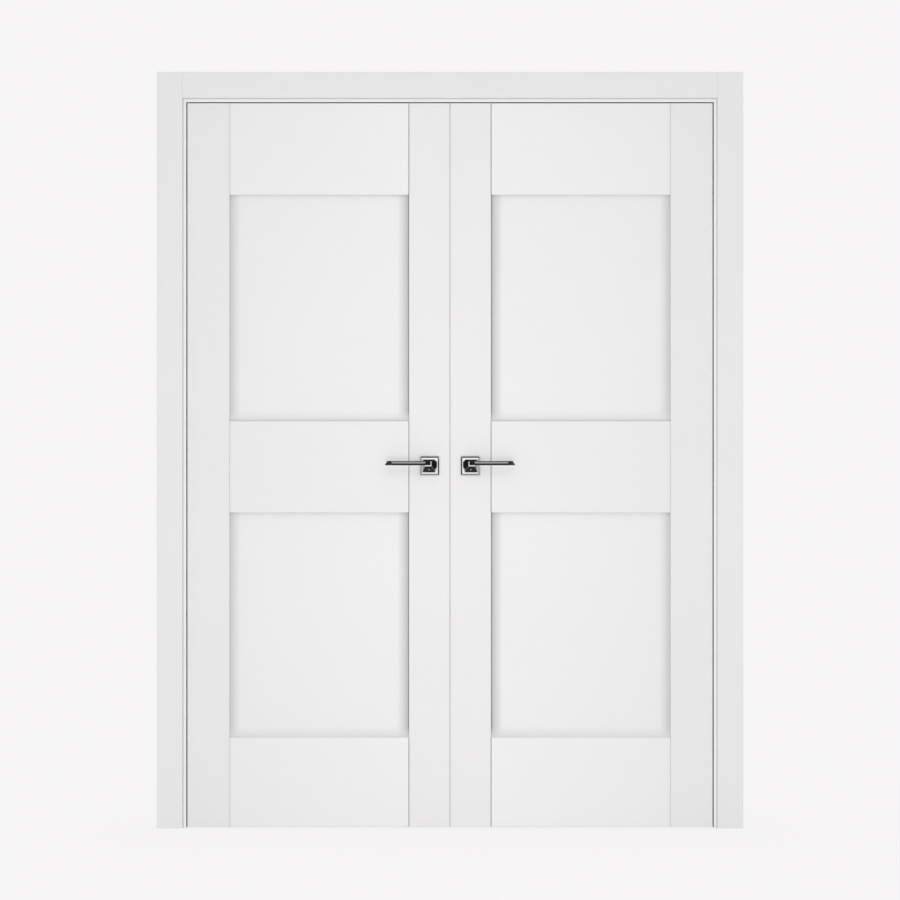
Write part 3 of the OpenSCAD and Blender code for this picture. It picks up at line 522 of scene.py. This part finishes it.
def make_floor():
    """Pale floor: even and bright far away, with the doors' own soft shadow close by."""
    paint = plain("floor", BACKGROUND)
    tree = paint.tree
    length = tree.nodes.new("ShaderNodeVectorMath")
    length.operation = "LENGTH"
    paint.join(paint.here(), length.inputs[0])
    even = paint.spread(
        length.outputs["Value"], 1 - SHADOW_SHARE, 1.0, SHADOW_NEAR, SHADOW_FAR
    )
    glow = tree.nodes.new("ShaderNodeEmission")
    glow.inputs["Color"].default_value = (*BACKGROUND, 1)
    mix = tree.nodes.new("ShaderNodeMixShader")
    paint.join(paint.math("MULTIPLY", even, lit_ray(tree)), mix.inputs["Fac"])
    paint.join(paint.shader.outputs["BSDF"], mix.inputs[1])
    paint.join(glow.outputs["Emission"], mix.inputs[2])
    paint.join(mix.outputs["Shader"], paint.out.inputs["Surface"])
    sides = ((-1, -1), (1, -1), (1, 1), (-1, 1))
    corners = [(x * FLOOR_HALF, y * FLOOR_HALF, FLOOR_LEVEL) for x, y in sides]
    quad("floor", corners, paint.material)


def make_world():
    """The pale background that the camera and the metal see, and soft light from all round."""
    world = bpy.data.worlds.new("studio")
    scene.world = world
    world.use_nodes = True
    tree = world.node_tree
    tree.nodes.clear()
    out = tree.nodes.new("ShaderNodeOutputWorld")
    seen = tree.nodes.new("ShaderNodeBackground")
    seen.inputs["Color"].default_value = (*BACKGROUND, 1)
    soft = tree.nodes.new("ShaderNodeBackground")
    soft.inputs["Color"].default_value = (1, 1, 1, 1)
    soft.inputs["Strength"].default_value = WORLD_LIGHT
    mix = tree.nodes.new("ShaderNodeMixShader")
    tree.links.new(lit_ray(tree), mix.inputs["Fac"])
    tree.links.new(soft.outputs[0], mix.inputs[1])
    tree.links.new(seen.outputs[0], mix.inputs[2])
    tree.links.new(mix.outputs["Shader"], out.inputs["Surface"])


def before(face, away):
    """The y of a place at a distance from the leaves' front or back."""
    return leaf_low[1] - away if face == "front" else leaf_high[1] + away


def softbox(name, face, away, up, aim, width, height, watts, mirrored=False):
    data = bpy.data.lights.new(name, "AREA")
    data.shape = "RECTANGLE"
    data.size = width
    data.size_y = height
    data.energy = watts
    lamp = bpy.data.objects.new(name, data)
    lamp.location = (0, before(face, away), up)
    turn = 0 if face == "front" else math.radians(180)
    lamp.rotation_euler = (math.atan2(away, up - aim), 0, turn)
    lamp.visible_camera = False
    lamp.visible_glossy = mirrored
    scene.collection.objects.link(lamp)


def dark_card(name, corners):
    """Card outside the picture that gives the polished metal something dark to reflect."""
    card = quad(name, corners, card_material)
    card.visible_camera = False
    card.visible_diffuse = False
    card.visible_shadow = False


def upright_card(name, face, away, across, reach):
    y = before(face, away)
    left, right = across
    low, high = reach
    dark_card(name, [(left, y, low), (right, y, low), (right, y, high), (left, y, high)])


def floor_card(name, face, near, far):
    near_y = before(face, near)
    far_y = before(face, far)
    dark_card(name, [
        (-CARD_HALF, far_y, CARD_LIFT), (CARD_HALF, far_y, CARD_LIFT),
        (CARD_HALF, near_y, CARD_LIFT), (-CARD_HALF, near_y, CARD_LIFT),
    ])


whites = {board: lacquer(f"lacquer_{board}", **finish) for board, finish in LACQUERS.items()}
slot_materials = {"chrome": polished("chrome", CHROME)}
for name, metal in METALS.items():
    slot_materials[name] = brushed(name, **metal)
for name, tones in RUBBERS.items():
    slot_materials[name] = rubber(name, **tones)

node_slots = {row["node"]: row["material_slot"] for row in frame["record"]["subparts"]}
for node_name, obj in nodes.items():
    slot = node_slots[node_name]
    dress(obj, slot_materials[slot] if slot in slot_materials else white_of(node_name))
    for ending, width in SOFT_EDGES.items():
        if node_name.endswith(ending):
            soften(obj, width)

for hand in ("left", "right"):
    for face in ("front", "back"):
        set_screw(hand, face)

make_camera()
make_floor()
make_world()
card_material = plain("dark_card", DARK_CARD).material
leaf_low, leaf_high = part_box("right_meeting_stile")
for face in ("front", "back"):
    for name, lamp in LAMPS.items():
        softbox(f"{face}_{name}", face, **lamp)
    for side in (-1, 1):
        for name, (near, far) in SIDE_CARDS.items():
            across = (side * near, side * far)
            upright_card(f"{face}_{name}", face, CARD_AWAY, across, SIDE_CARD_REACH)
    for name, (away, *reach) in TALL_CARDS.items():
        upright_card(f"{face}_{name}", face, away, (-CARD_HALF, CARD_HALF), reach)
    for name, (near, far) in FLOOR_CARDS.items():
        floor_card(f"{face}_{name}", face, near, far)
